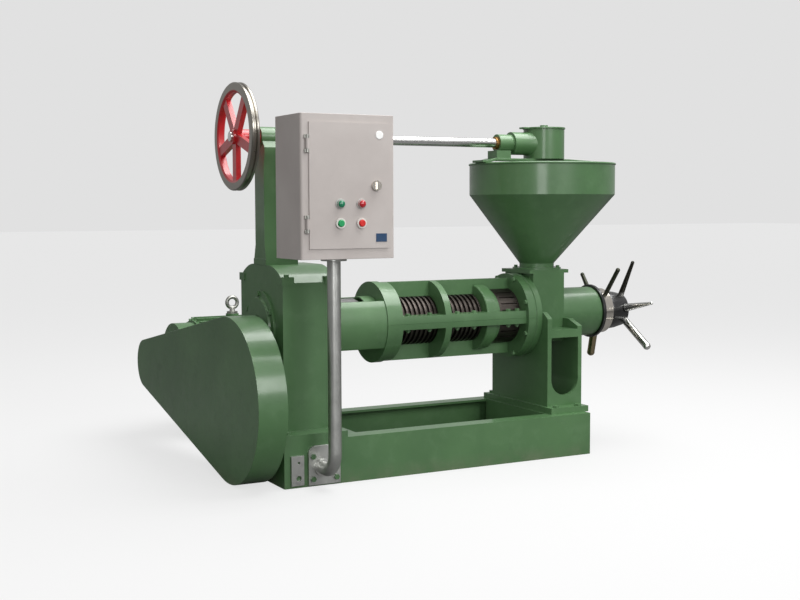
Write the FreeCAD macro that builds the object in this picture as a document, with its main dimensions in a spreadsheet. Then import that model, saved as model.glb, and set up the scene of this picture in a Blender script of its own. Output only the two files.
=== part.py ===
"""Screw oil press with gearbox, belt drive, feed hopper and control box.

All lengths are in millimetres.  +Z is up, the pressing axis runs along X from
the gearbox (-X) to the adjusting end (+X), and the control box stands in
front (-Y).  Every size below is a row of the spreadsheet called sizes.
"""
import FreeCAD, Part
import math
import os
import re
import Sketcher
from FreeCAD import Vector

doc = FreeCAD.newDocument("screw_oil_press")
sheet = doc.addObject("Spreadsheet::Sheet", "sizes")
TABLE = {}
NODES = []

# ---------------------------------------------------------------- helpers


def sizes(table):
    """Add named sizes to the spreadsheet, one row each; text is worked out first."""
    for name, given in table.items():
        row = len(TABLE) + 1
        number = value(given)
        TABLE[name] = number
        sheet.set("A%d" % row, name)
        sheet.set("B%d" % row, "%.6f" % number)
        sheet.setAlias("B%d" % row, name)


def value(text):
    """Work out a size expression from the numbers in the table."""
    tokens = re.findall(r"[A-Za-z_]\w*|\d+\.?\d*|[-+*/()]", str(text))

    def atom():
        token = tokens.pop(0)
        if token == "(":
            inner = total()
            tokens.pop(0)
            return inner
        if token == "-":
            return -atom()
        if token in TABLE:
            return TABLE[token]
        return float(token)

    def term():
        result = atom()
        while tokens and tokens[0] in ("*", "/"):
            if tokens.pop(0) == "*":
                result *= atom()
            else:
                result /= atom()
        return result

    def total():
        result = term()
        while tokens and tokens[0] in ("+", "-"):
            if tokens.pop(0) == "+":
                result += term()
            else:
                result -= term()
        return result

    return total()


def bind(item, prop, text):
    """Tie one property to an expression over the spreadsheet."""
    scoped = re.sub(r"([A-Za-z_]\w*)", r"sizes.\1", str(text))
    item.setExpression(prop, scoped)


def place(item, x, y, z):
    bind(item, "Placement.Base.x", x)
    bind(item, "Placement.Base.y", y)
    bind(item, "Placement.Base.z", z)
    return item


def span(low, high):
    return "(%s) - (%s)" % (high, low)


def box(x0, x1, y0, y1, z0, z1):
    """Block between two corners."""
    item = doc.addObject("Part::Box", "block")
    bind(item, "Length", span(x0, x1))
    bind(item, "Width", span(y0, y1))
    bind(item, "Height", span(z0, z1))
    return place(item, x0, y0, z0)


LYING = {
    "x": FreeCAD.Rotation(Vector(0, 1, 0), 90),
    "y": FreeCAD.Rotation(Vector(1, 0, 0), -90),
    "z": FreeCAD.Rotation(),
}


def set_along(item, axis, start, first, second):
    """Lay an item along an axis; first and second are the other two coordinates."""
    item.Placement = FreeCAD.Placement(Vector(), LYING[axis])
    if axis == "x":
        return place(item, start, first, second)
    if axis == "y":
        return place(item, first, start, second)
    return place(item, first, second, start)


def rod(axis, start, end, first, second, radius):
    """Solid cylinder along an axis."""
    item = doc.addObject("Part::Cylinder", "rod")
    bind(item, "Radius", radius)
    bind(item, "Height", span(start, end))
    return set_along(item, axis, start, first, second)


def cone(axis, start, end, first, second, radius_a, radius_b):
    item = doc.addObject("Part::Cone", "cone")
    bind(item, "Radius1", radius_a)
    bind(item, "Radius2", radius_b)
    bind(item, "Height", span(start, end))
    return set_along(item, axis, start, first, second)


def prism(axis, start, end, first, second, radius, sides=6):
    item = doc.addObject("Part::Prism", "prism")
    item.Polygon = sides
    bind(item, "Circumradius", radius)
    bind(item, "Height", span(start, end))
    return set_along(item, axis, start, first, second)


def torus(axis, x, y, z, major, minor):
    item = doc.addObject("Part::Torus", "torus")
    bind(item, "Radius1", major)
    bind(item, "Radius2", minor)
    item.Placement = FreeCAD.Placement(Vector(), LYING[axis])
    return place(item, x, y, z)


def join(*parts):
    item = doc.addObject("Part::MultiFuse", "joined")
    item.Shapes = list(parts)
    item.Refine = True
    return item


def cut(base, *tools):
    item = doc.addObject("Part::Cut", "cut")
    item.Base = base
    item.Tool = tools[0] if len(tools) == 1 else join(*tools)
    return item


def common(first, second):
    item = doc.addObject("Part::Common", "common")
    item.Base = first
    item.Tool = second
    return item


def group(*parts):
    item = doc.addObject("Part::Compound", "group")
    item.Links = list(parts)
    return item


def tube(axis, start, end, first, second, outer, inner):
    return cut(rod(axis, start, end, first, second, outer),
               rod(axis, "(%s) - 1" % start, "(%s) + 1" % end, first, second, inner))


def sketch(body, role, corners):
    """Closed profile.  A corner is (across, up), or (across, up, radius, side)
    when an arc leaves it; side 1 keeps the centre on the left, -1 on the right."""
    plane = [item for item in body.Origin.OriginFeatures if item.Role == role][0]
    profile = body.newObject("Sketcher::SketchObject", "profile")
    profile.AttachmentSupport = [(plane, "")]
    profile.MapMode = "FlatFace"
    points = [Vector(value(c[0]), value(c[1]), 0) for c in corners]
    ends = []
    for index, corner in enumerate(corners):
        start = points[index]
        end = points[(index + 1) % len(points)]
        if len(corner) == 2:
            profile.addGeometry(Part.LineSegment(start, end), False)
            ends.append((1, 2))
            continue
        radius = value(corner[2])
        chord = end - start
        rise = math.sqrt(max(radius ** 2 - chord.Length ** 2 / 4.0, 0.0))
        left = Vector(-chord.y, chord.x, 0).normalize()
        centre = start + chord * 0.5 + left * (rise * corner[3])
        first, last = (start, end) if corner[3] > 0 else (end, start)
        low = math.atan2(first.y - centre.y, first.x - centre.x)
        high = math.atan2(last.y - centre.y, last.x - centre.x)
        circle = Part.Circle(centre, Vector(0, 0, 1), radius)
        profile.addGeometry(Part.ArcOfCircle(circle, low, high), False)
        ends.append((1, 2) if corner[3] > 0 else (2, 1))
    for index, corner in enumerate(corners):
        after = (index + 1) % len(points)
        profile.addConstraint(Sketcher.Constraint(
            "Coincident", index, ends[index][1], after, ends[after][0]))
        for kind, text, number in (("DistanceX", corner[0], points[index].x),
                                   ("DistanceY", corner[1], points[index].y)):
            if abs(number) < 1e-9:
                line = -2 if kind == "DistanceX" else -1
                profile.addConstraint(Sketcher.Constraint(
                    "PointOnObject", index, ends[index][0], line))
                continue
            made = profile.addConstraint(Sketcher.Constraint(
                kind, -1, 1, index, ends[index][0], number))
            bind(profile, "Constraints[%d]" % made, text)
        if len(corner) > 2:
            made = profile.addConstraint(Sketcher.Constraint(
                "Radius", index, value(corner[2])))
            bind(profile, "Constraints[%d]" % made, corner[2])
    return profile


def padded(plane, low, high, corners):
    """Profile pushed out along the normal of its plane, between two levels."""
    body = doc.addObject("PartDesign::Body", "plate")
    profile = sketch(body, plane + "_Plane", corners)
    pad = body.newObject("PartDesign::Pad", "pad")
    pad.Profile = profile
    bind(pad, "Length", span(low, high))
    if plane == "YZ":
        return place(body, low, "0", "0")
    if plane == "XZ":
        return place(body, "0", high, "0")
    return place(body, "0", "0", low)


def turned(axis, first, second, corners):
    """Profile of (along, radius) corners turned about an axis."""
    body = doc.addObject("PartDesign::Body", "turned")
    if axis == "z":
        profile = sketch(body, "XZ_Plane", [(c[1], c[0]) + tuple(c[2:]) for c in corners])
        line = "V_Axis"
    else:
        profile = sketch(body, {"x": "XZ_Plane", "y": "YZ_Plane"}[axis], corners)
        line = "H_Axis"
    spin = body.newObject("PartDesign::Revolution", "spin")
    spin.Profile = profile
    spin.ReferenceAxis = (profile, [line])
    spin.Angle = 360
    if axis == "x":
        return place(body, "0", first, second)
    if axis == "y":
        return place(body, first, "0", second)
    return place(body, first, second, "0")


def swing(item, angle, x, y, z):
    """Turn an item about its own X line, then carry it to a point."""
    holder = group(item)
    turn = FreeCAD.Rotation(Vector(1, 0, 0), value(angle))
    holder.Placement = FreeCAD.Placement(Vector(), turn)
    return place(holder, x, y, z)


def node(label, item):
    item.Label = label
    NODES.append(item)
    return item


def bolt(axis, seat, tip, first, second, size="bolt_r", sign=1):
    """Hexagon bolt: head outside the seat, shank from the seat to the tip."""
    head = "(%s) - %d*bolt_head" % (seat, sign)
    low, high = (head, seat) if sign > 0 else (seat, head)
    start, end = (head, tip) if sign > 0 else (tip, head)
    return join(prism(axis, low, high, first, second, "1.75*(%s)" % size),
                rod(axis, start, end, first, second, size))


def hole(axis, seat, tip, first, second, size="bolt_r", sign=1):
    """Clearance hole that goes with a bolt, a little deeper than its tip."""
    low = "(%s) - %d*2" % (seat, sign)
    high = "(%s) + %d*1" % (tip, sign)
    start, end = (low, high) if sign > 0 else (high, low)
    return rod(axis, start, end, first, second, "(%s) + bolt_play" % size)


def circle_points(count, radius, first, second, start=0.0):
    """Places on a bolt circle, as pairs of expressions."""
    found = []
    for index in range(count):
        angle = math.radians(start + 360.0 * index / count)
        found.append(("%s + (%s)*(%.6f)" % (first, radius, math.cos(angle)),
                      "%s + (%s)*(%.6f)" % (second, radius, math.sin(angle))))
    return found


def gear_wire(teeth, module, addendum, dedendum, slack, phase):
    """Spur gear outline as points about the origin; phase is the angle of one tooth."""
    pitch = teeth * module / 2.0
    base = pitch * math.cos(math.radians(20))
    tip = pitch + addendum
    root = pitch - dedendum
    low = max(base, root)
    involute = math.tan(math.radians(20)) - math.radians(20)
    half = (math.pi * module / 2.0 - slack) / (2.0 * pitch)
    points = []
    for tooth in range(teeth):
        middle = phase + 2 * math.pi * tooth / teeth
        flank = []
        for radius in (low, (low + tip) / 2.0, tip):
            bend = math.acos(min(1.0, base / radius))
            flank.append((radius, half + involute - (math.tan(bend) - bend)))
        left = [(root, flank[0][1])] if root < low - 0.01 else []
        left += flank
        points += [(r, middle - a) for r, a in left]
        points += [(r, middle + a) for r, a in reversed(left)]
    return [(r * math.cos(a), r * math.sin(a)) for r, a in points]


def gear_along_x(name, outline, x0, x1, y, z):
    """Straight-toothed wheel with its axis along X."""
    corners = [Vector(x0, y + p[0], z + p[1]) for p in outline]
    face = Part.Face(Part.makePolygon(corners + [corners[0]]))
    item = doc.addObject("Part::Feature", name)
    item.Shape = face.extrude(Vector(x1 - x0, 0, 0))
    return item


def flight(start, end, core, outer, pitch, thick):
    """Helical blade about Z from start to end, rooted just inside the core."""
    helix = Part.makeHelix(pitch, end - start - thick, core)
    corners = [Vector(core - 3, 0, 0), Vector(outer, 0, 0.2 * thick),
               Vector(outer, 0, 0.8 * thick), Vector(core - 3, 0, thick)]
    section = Part.makePolygon(corners + [corners[0]])
    sweep = Part.Wire(helix).makePipeShell([section], True, True)
    sweep.translate(Vector(0, 0, start))
    return sweep


# ---------------------------------------------------------------- shared sizes
SHARED = {
    "main_z": 462, "in_y": -102, "in_z": 257, "motor_y": 765, "motor_z": 275,
    "feed_z": 1054, "seat": 0.03, "run": 0.05, "bolt_r": 5, "bolt_head": 7,
    "bolt_play": 0.3, "base_x": 560, "base_y": 245, "base_top": 140, "base_web": 8,
    "base_flange": 58, "anchor_x": "base_x - 80", "anchor_y": "base_y - 29",
    "anchor_r": 8.75, "box_left": -530, "box_right": -355, "box_y": 174,
    "foot_top": "base_top + 20", "box_top": "main_z + 142", "wall": 12, "main_bore": 80,
    "side_bore": 42, "hub_r": 52, "shaft_r": 35, "lay_r": 25,
}
sizes(SHARED)


def middle_centre():
    """Centre of the intermediate shaft from the two gear centre distances."""
    far = TABLE["bull_mate"]
    near = TABLE["input_mate"]
    dy = TABLE["in_y"]
    dz = TABLE["in_z"] - TABLE["main_z"]
    gap = math.hypot(dy, dz)
    along = (far ** 2 - near ** 2 + gap ** 2) / (2 * gap)
    off = math.sqrt(far ** 2 - along ** 2)
    return (along * dy / gap - off * dz / gap,
            TABLE["main_z"] + along * dz / gap + off * dy / gap)


GEARS = {
    "coarse": 5, "fine": 4, "bull_teeth": 58, "small_teeth": 16, "wheel_teeth": 50,
    "start_teeth": 18,
}
sizes(GEARS)
MATES = {
    "bull_mate": "coarse / 2 * (bull_teeth + small_teeth)",
    "input_mate": "fine / 2 * (wheel_teeth + start_teeth)",
}
sizes(MATES)
MIDDLE = middle_centre()
MIDDLE_SPOT = {
    "mid_y": MIDDLE[0], "mid_z": MIDDLE[1],
}
sizes(MIDDLE_SPOT)
GEAR_FACES = {
    "fine_left": -495, "fine_right": -455, "coarse_left": -447, "coarse_right": -390,
}
sizes(GEAR_FACES)

BOLTS = []

# ---------------------------------------------------------------- base frame
BASE = {
    "cross_left": -345, "cross_right": 415, "foot_x0": "-base_x",
    "foot_x1": "box_right + 5", "gear_foot_y": "base_y - 29", "ped_x0": 433,
    "ped_x1": 574, "ped_foot_x0": 422, "ped_foot_y": "base_y - 30",
    "ped_bolt_y": "base_y - 44", "plate_y": "-base_y - 8",
    "base_open_x": "base_x - base_flange", "base_open_y": "base_y - base_flange",
}
sizes(BASE)


def cross_channel(left):
    return join(
        box(left, left + " + base_web", "-base_open_y - 1", "base_open_y + 1", "0", "base_top"),
        box(left, left + " + 50", "-base_open_y - 1", "base_open_y + 1", "0", "base_web"),
        box(left, left + " + 50", "-base_open_y - 1", "base_open_y + 1",
            "base_top - base_web", "base_top"))


frame_block = cut(
    box("-base_x", "base_x", "-base_y", "base_y", "0", "base_top"),
    box("-base_x + base_web", "base_x - base_web", "-base_y + base_web",
        "base_y - base_web", "base_web", "base_top - base_web"),
    box("-base_open_x", "base_open_x", "-base_open_y", "base_open_y", "-1", "base_top + 1"))
frame_whole = join(frame_block, cross_channel("cross_left"), cross_channel("cross_right"))
anchors = [rod("z", "-1", "base_web + 1", x, y, "anchor_r")
           for x in ("-anchor_x", "anchor_x") for y in ("-anchor_y", "anchor_y")]
foot_spots = [(x, y, "gear_foot_y") for x in ("-535", "-380") for y in (-1, 1)]
foot_spots += [(x, y, "ped_bolt_y") for x in ("450", "540") for y in (-1, 1)]
foot_holes = []
for x, side, y in foot_spots:
    where = "%d*%s" % (side, y)
    BOLTS.append(bolt("z", "foot_top", "base_top - 20", x, where, "bolt_r + 2", -1))
    foot_holes.append(hole("z", "foot_top", "base_top - 20", x, where, "bolt_r + 2", -1))
plate_bolts = []
plate_holes = []
for x, z in (("-470", "24"), ("-393", "24"), ("-470", "92"), ("-393", "92")):
    plate_bolts.append(bolt("y", "plate_y", "-base_y + 14", x, z, "bolt_r"))
    plate_holes.append(hole("y", "plate_y", "-base_y + 14", x, z, "bolt_r"))
node("base_frame", cut(frame_whole, *(anchors + foot_holes + plate_holes)))

# ---------------------------------------------------------------- gearbox
GEARBOX = {
    "boss_len": 27, "boss_wall": 13, "cap_play": 1, "post_x0": "box_left - 4",
    "post_x1": "box_left + 75", "post_foot_y": 50, "post_foot_x1": -425,
}
sizes(GEARBOX)


def boss(y, z, bore):
    """Bearing boss on the inside of the left wall and of the right wall."""
    outer = "%s + boss_wall" % bore
    return [rod("x", "box_left", "box_left + boss_len", y, z, outer),
            rod("x", "box_right - boss_len", "box_right", y, z, outer)]


corner_pads = [box(x, x + " + 36", y, y + " + 36", "box_top - 44", "box_top")
               for x in ("box_left", "box_right - 36") for y in ("-box_y", "box_y - 36")]
gear_shell = cut(box("box_left", "box_right", "-box_y", "box_y", "foot_top", "box_top"),
                 box("box_left + wall", "box_right - wall", "-box_y + wall", "box_y - wall",
                     "foot_top + wall", "box_top + 1"))
gear_solid = join(gear_shell, box("foot_x0", "foot_x1", "-base_y", "base_y", "base_top",
                                  "foot_top"),
                  *(boss("0", "main_z", "main_bore") + boss("in_y", "in_z", "side_bore")
                    + boss("mid_y", "mid_z", "side_bore") + corner_pads))
bores = [rod("x", "box_left - 1", "box_right + 1", "0", "main_z", "main_bore"),
         rod("x", "box_left - 1", "box_right - 6", "in_y", "in_z", "side_bore"),
         rod("x", "box_left - 1", "box_right - 6", "mid_y", "mid_z", "side_bore")]
cap_holes = []
for y, z in circle_points(6, "107", "0", "main_z", 30):
    BOLTS.append(bolt("x", "box_left - 8", "box_left + 8", y, z, "bolt_r"))
    cap_holes.append(hole("x", "box_left - 8", "box_left + 8", y, z, "bolt_r"))
for where in (("in_y", "in_z"), ("mid_y", "mid_z")):
    for y, z in circle_points(4, "59", where[0], where[1], 45):
        BOLTS.append(bolt("x", "box_left - 8", "box_left + 8", y, z, "bolt_r - 1"))
        cap_holes.append(hole("x", "box_left - 8", "box_left + 8", y, z, "bolt_r - 1"))
lid_holes = []
for x in ("box_left + 16", "box_right - 16"):
    for y in ("-box_y + 9", "box_y - 9"):
        BOLTS.append(bolt("z", "box_top + 24", "box_top - 25", x, y, "bolt_r", -1))
        lid_holes.append(hole("z", "box_top + 24", "box_top - 25", x, y, "bolt_r", -1))
drain = rod("y", "-box_y - 1", "-box_y + 30", "-380", "foot_top + 30", "9")
node("gearbox_housing", cut(gear_solid, *(bores + cap_holes + lid_holes + foot_holes[:4])))

cover_outer = padded("YZ", "box_left", "box_right", [
    ("-box_y", "box_top"), ("box_y", "box_top"), ("box_y", "610"), ("152", "632", "180", 1),
    ("70", "660"), ("-70", "660", "180", 1), ("-152", "632"), ("-box_y", "610")])
cover_inner = padded("YZ", "box_left + wall", "box_right - wall", [
    ("-box_y + wall", "box_top - 1"), ("box_y - wall", "box_top - 1"),
    ("box_y - wall", "606"), ("144", "622"), ("66", "648"), ("-66", "648"),
    ("-144", "622"), ("-box_y + wall", "606")])
lugs = [box(x, x + " + 40", y, y + " + 40", "box_top", "box_top + 24")
        for x in ("box_left - 4", "box_right - 36") for y in ("-box_y - 4", "box_y - 36")]
post_holes = []
for y in ("-post_foot_y + 14", "0", "post_foot_y - 14"):
    BOLTS.append(bolt("z", "678", "650", "post_foot_x1 - 14", y, "bolt_r", -1))
    post_holes.append(hole("z", "678", "650", "post_foot_x1 - 14", y, "bolt_r", -1))
node("gearbox_cover", cut(join(cut(cover_outer, cover_inner), *lugs),
                          *(lid_holes + post_holes)))

rings = []
for y, z, bore, shaft in (("0", "main_z", "main_bore", "hub_r"),
                          ("in_y", "in_z", "side_bore", "lay_r"),
                          ("mid_y", "mid_z", "side_bore", "lay_r")):
    rings.append(tube("x", "box_left + 3", "box_left + boss_len", y, z, bore + " - seat",
                      shaft + " + run"))
    rings.append(tube("x", "box_right - boss_len", "box_right - 6", y, z, bore + " - seat",
                      shaft + " + run"))
node("shaft_bearings", group(*rings))

main_cap = turned("x", "0", "main_z", [
    ("box_left", "0"), ("box_left", "118"), ("box_left - 8", "118"), ("box_left - 8", "97"),
    ("box_left - 15", "94"), ("box_left - 15", "40"), ("box_left - 11", "36"),
    ("box_left - 11", "0")])
in_cap = tube("x", "box_left - 8", "box_left", "in_y", "in_z", "70", "lay_r + cap_play")
mid_cap = turned("x", "mid_y", "mid_z", [
    ("box_left", "0"), ("box_left", "66"), ("box_left - 8", "66"), ("box_left - 8", "47"),
    ("box_left - 12", "44"), ("box_left - 12", "0")])
node("bearing_covers", cut(group(main_cap, in_cap, mid_cap), *cap_holes))

# ---------------------------------------------------------------- feeder post
post_body = padded("YZ", "post_x0 + 2", "post_x1", [
    ("-50", "678"), ("50", "678"), ("38", "722"), ("38", "975"), ("46", "1000"), ("46", "1022"),
    ("28", "1044"), ("-28", "1044"), ("-46", "1022"), ("-46", "1000"), ("-38", "975"),
    ("-38", "722")])
post_solid = join(post_body,
                  box("post_x0", "post_foot_x1", "-post_foot_y", "post_foot_y", "660", "678"),
                  rod("x", "post_x0", "-440", "0", "feed_z", "32.5"))
FEEDER = {
    "bush_r": 22, "feed_r": 15.5,
}
sizes(FEEDER)
node("shaft_post", cut(post_solid, rod("x", "post_x0 - 1", "-439", "0", "feed_z", "bush_r"),
                       *post_holes))
node("feeder_bushes", group(
    tube("x", "post_x0", "post_x0 + 30", "0", "feed_z", "bush_r - seat", "feed_r + run"),
    tube("x", "-470", "-440", "0", "feed_z", "bush_r - seat", "feed_r + run"),
    tube("x", "337", "367", "0", "feed_z", "bush_r - seat", "feed_r + run"),
    tube("x", "417", "447", "0", "feed_z", "bush_r - seat", "feed_r + run"),
    tube("x", "328", "337", "0", "feed_z", "bush_r - 2", "feed_r + 0.5")))

# ---------------------------------------------------------------- pedestal and feed
PEDESTAL = {
    "ped_y": 174, "ped_wall": 12, "shelf_z": "main_z - 42", "feedbox_x0": 432, "feedbox_x1": 560,
    "feedbox_y": 88, "feedbox_z0": "main_z - 90", "feedbox_z1": "main_z + 146",
    "feed_top": "feedbox_z1 + 12", "barrel_r": 62.3, "joint_x": 409, "flange_r": 145,
    "sleeve_r": 87, "mouth_x": 505, "mouth_r": 62, "fit_gap": 0.1,
    "ped_mid": "(ped_x0 + ped_x1 + 1) / 2", "window_r": 55,
}
sizes(PEDESTAL)

left_wall = padded("YZ", "ped_x0", "ped_x0 + 18", [
    ("-ped_y", "foot_top"), ("ped_y", "foot_top"), ("ped_y", "main_z - 4"),
    ("flange_r", "main_z + 17"), ("-flange_r", "main_z + 17"), ("-ped_y", "main_z - 4")])
right_wall = padded("YZ", "ped_x1 - 18", "ped_x1", [
    ("-ped_y", "foot_top"), ("ped_y", "foot_top"), ("ped_y", "main_z - 32"),
    ("120", "main_z - 11"), ("-120", "main_z - 11"), ("-ped_y", "main_z - 32")])
side_walls = cut(box("ped_x0", "ped_x1", "-ped_y", "ped_y", "foot_top", "shelf_z"),
                 box("ped_x0 + 18", "ped_x1 - 18", "-ped_y + ped_wall", "ped_y - ped_wall",
                     "foot_top - 1", "shelf_z - ped_wall"))
window = padded("XZ", "-ped_y - 10", "ped_y + 10", [
    ("ped_mid - window_r", "foot_top + 91", "window_r", 1),
    ("ped_mid", "foot_top + 91 - window_r", "window_r", 1),
    ("ped_mid + window_r", "foot_top + 91"), ("ped_mid + window_r", "shelf_z - 27"),
    ("ped_mid - window_r", "shelf_z - 27")])
ped_solid = join(left_wall, right_wall, side_walls,
                 box("ped_foot_x0", "ped_x1", "-ped_foot_y", "ped_foot_y", "base_top",
                     "foot_top"))
saddle = [box("feedbox_x0 - 2", "feedbox_x1 + fit_gap", "-feedbox_y - fit_gap",
              "feedbox_y + fit_gap", "feedbox_z0", "700"),
          rod("x", "feedbox_x1 - 5", "ped_x1 + 5", "0", "main_z", "sleeve_r + fit_gap"),
          box("feedbox_x1 - 5", "ped_x1 + 5", "-sleeve_r - fit_gap", "sleeve_r + fit_gap",
              "main_z", "700")]
node("pedestal", cut(ped_solid, window, *(saddle + foot_holes[4:])))

feed_body = join(
    turned("x", "0", "main_z", [("joint_x", "0"), ("joint_x", "flange_r - 3"),
                                ("joint_x + 3", "flange_r"), ("feedbox_x0", "flange_r"),
                                ("feedbox_x0", "0")]),
    box("feedbox_x0", "feedbox_x1", "-feedbox_y", "feedbox_y", "feedbox_z0", "feedbox_z1"),
    box("mouth_x - 88", "mouth_x + 73", "-feedbox_y", "feedbox_y", "feedbox_z1", "feed_top"))
ring_holes = []
RING = []
for y, z in circle_points(8, "137.5", "0", "main_z", 22.5):
    RING.append(bolt("x", "joint_x - 32", "feedbox_x0 - 3", y, z, "bolt_r - 0.5"))
    ring_holes.append(hole("x", "joint_x - 32", "feedbox_x0 - 3", y, z, "bolt_r - 0.5"))
mouth_holes = []
for x, y in circle_points(4, "74", "mouth_x", "0", 45):
    BOLTS.append(bolt("z", "feed_top + 6", "feed_top - 20", x, y, "bolt_r - 1", -1))
    mouth_holes.append(hole("z", "feed_top + 6", "feed_top - 20", x, y, "bolt_r - 1", -1))
node("feed_housing", cut(feed_body,
                         rod("x", "joint_x - 5", "545", "0", "main_z", "wall_r"),
                         rod("x", "540", "feedbox_x1 + 5", "0", "main_z", "36"),
                         rod("z", "main_z", "feed_top + 5", "mouth_x", "0", "mouth_r"),
                         *(ring_holes + mouth_holes)))

# ---------------------------------------------------------------- pressing cage
CAGE = {
    "cage_r": 130, "cage_x0": -152, "cake_r": 86, "wall_r": 64, "rings_x0": -95,
    "rings_x1": 235, "spacer_x1": 275, "spacer_r": 111, "bars_x0": 297, "bar_hi": "main_z + 24",
    "bar_lo": "main_z - 19", "web_y": 12, "rib_x0": 63, "rib_x1": 86, "split": 0.2,
    "ring_crest": 80, "ring_valley": 71, "ring_count": 19, "stem_r": 5, "cage_end": 377,
    "bar_out": 94, "stud_y": 104,
}
sizes(CAGE)
RING_STEP = {
    "ring_pitch": "(rings_x1 - rings_x0) / 19",
}
sizes(RING_STEP)

cage_solid = turned("x", "0", "main_z", [
    ("cage_x0", "cake_r"), ("cage_x0", "cage_r + 3"), ("-125", "cage_r + 3"), ("-125", "cage_r"),
    ("cage_end", "cage_r"), ("cage_end", "flange_r"), ("joint_x - 3", "flange_r"),
    ("joint_x", "flange_r - 3"), ("joint_x", "wall_r"), ("cage_end", "wall_r"),
    ("cage_end", "bar_out + fit_gap"), ("spacer_x1", "bar_out + fit_gap"),
    ("spacer_x1", "spacer_r + fit_gap"), ("rings_x1", "spacer_r + fit_gap"),
    ("rings_x1", "ring_crest + fit_gap"), ("rings_x0", "ring_crest + fit_gap"),
    ("rings_x0", "wall_r"), ("cage_x0 + 8", "wall_r"), ("cage_x0 + 8", "cake_r")])
openings = []
for low, high in (("rings_x0", "rib_x0"), ("rib_x1", "cage_end")):
    for near, far in (("-160", "-web_y"), ("web_y", "160")):
        openings.append(box(low, high, near, far, "bar_hi", "main_z + 160"))
        openings.append(box(low, high, near, far, "main_z - 160", "bar_lo"))
stud_holes = []
STUDS = []
for x in ("-65", "15", "120", "185", "320", "355"):
    for y in ("-stud_y", "stud_y"):
        STUDS.append(bolt("z", "bar_hi", "bar_lo - 12", x, y, "stem_r", -1))
        STUDS.append(prism("z", "bar_lo - 8", "bar_lo", x, y, "1.75*stem_r"))
        stud_holes.append(hole("z", "bar_hi", "bar_lo - 12", x, y, "stem_r", -1))
studs = [join(STUDS[i], STUDS[i + 1]) for i in range(0, len(STUDS), 2)]
cage_open = cut(cage_solid, *(openings + stud_holes + ring_holes))
node("cage_upper_half", common(cage_open, box("cage_x0 - 5", "joint_x + 5", "-200", "200",
                                              "main_z + split", "700")))
node("cage_lower_half", common(cage_open, box("cage_x0 - 5", "joint_x + 5", "-200", "200",
                                              "200", "main_z - split")))
node("cage_bolts", group(*(studs + RING)))

ring_body = doc.addObject("PartDesign::Body", "ring_stack")
ring_profile = sketch(ring_body, "XZ_Plane", [
    ("rings_x0", "barrel_r"), ("rings_x0", "ring_valley"), ("rings_x0 + 5", "ring_valley"),
    ("rings_x0 + 6.5", "ring_crest"), ("rings_x0 + ring_pitch - 4", "ring_crest"),
    ("rings_x0 + ring_pitch - 2.5", "ring_valley"), ("rings_x0 + ring_pitch", "ring_valley"),
    ("rings_x0 + ring_pitch", "barrel_r")])
ring_spin = ring_body.newObject("PartDesign::Revolution", "ring")
ring_spin.Profile = ring_profile
ring_spin.ReferenceAxis = (ring_profile, ["H_Axis"])
ring_spin.Angle = 360
ring_row = ring_body.newObject("PartDesign::LinearPattern", "row")
ring_row.Originals = [ring_spin]
ring_row.Direction = (ring_profile, ["H_Axis"])
ring_row.Length = value("ring_pitch * (ring_count - 1)")
bind(ring_row, "Length", "ring_pitch * (ring_count - 1)")
ring_row.Occurrences = int(TABLE["ring_count"])
ring_body.Tip = ring_row
node("press_rings", place(ring_body, "0", "0", "main_z"))

BARS = {
    "bar_count": 24, "bar_slot": 4,
}
sizes(BARS)
bars_body = doc.addObject("PartDesign::Body", "bars")
bars_profile = sketch(bars_body, "XZ_Plane", [
    ("bars_x0", "barrel_r"), ("bars_x0", "bar_out"), ("cage_end", "bar_out"),
    ("cage_end", "barrel_r")])
bars_spin = bars_body.newObject("PartDesign::Revolution", "sleeve")
bars_spin.Profile = bars_profile
bars_spin.ReferenceAxis = (bars_profile, ["H_Axis"])
bars_spin.Angle = 360
slot_profile = sketch(bars_body, "XY_Plane", [
    ("bars_x0 + 8", "-0.5*bar_slot"), ("cage_end - 8", "-0.5*bar_slot"),
    ("cage_end - 8", "0.5*bar_slot"), ("bars_x0 + 8", "0.5*bar_slot")])
slot_profile.AttachmentOffset = FreeCAD.Placement(Vector(0, 0, value("bar_out - 7")),
                                                  FreeCAD.Rotation())
slot = bars_body.newObject("PartDesign::Pocket", "slot")
slot.Profile = slot_profile
slot.Length = 30
slot.Reversed = True
slots = bars_body.newObject("PartDesign::PolarPattern", "slots")
slots.Originals = [slot]
slots.Axis = (bars_profile, ["H_Axis"])
slots.Angle = 360
slots.Occurrences = int(TABLE["bar_count"])
bars_body.Tip = slots
node("press_bars", place(bars_body, "0", "0", "main_z"))
node("spacer_ring", turned("x", "0", "main_z", [
    ("rings_x1", "barrel_r"), ("rings_x1", "spacer_r - 3"), ("rings_x1 + 3", "spacer_r"),
    ("spacer_x1", "spacer_r"), ("spacer_x1", "bar_out"), ("bars_x0", "bar_out"),
    ("bars_x0", "barrel_r")]))

DISCHARGE = {
    "arm_in": 116, "arm_lo": "main_z - 76", "arm_hi": "main_z + 76",
    "arm_x0": -343, "ring_in_x": -195,
}
sizes(DISCHARGE)
arms = common(tube("x", "arm_x0 - 1", "cage_x0", "0", "main_z", "cage_r", "arm_in"),
              box("arm_x0 - 2", "cage_x0", "-200", "200", "arm_lo", "arm_hi"))
node("discharge_frame", join(
    arms, tube("x", "box_right", "arm_x0", "0", "main_z", "cage_r + 2", "85")))
node("cake_ring", turned("x", "0", "main_z", [
    ("ring_in_x", "82"), ("ring_in_x", "cake_r - seat"), ("cage_x0 + 8", "cake_r - seat"),
    ("cage_x0 + 8", "66")]))

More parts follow.
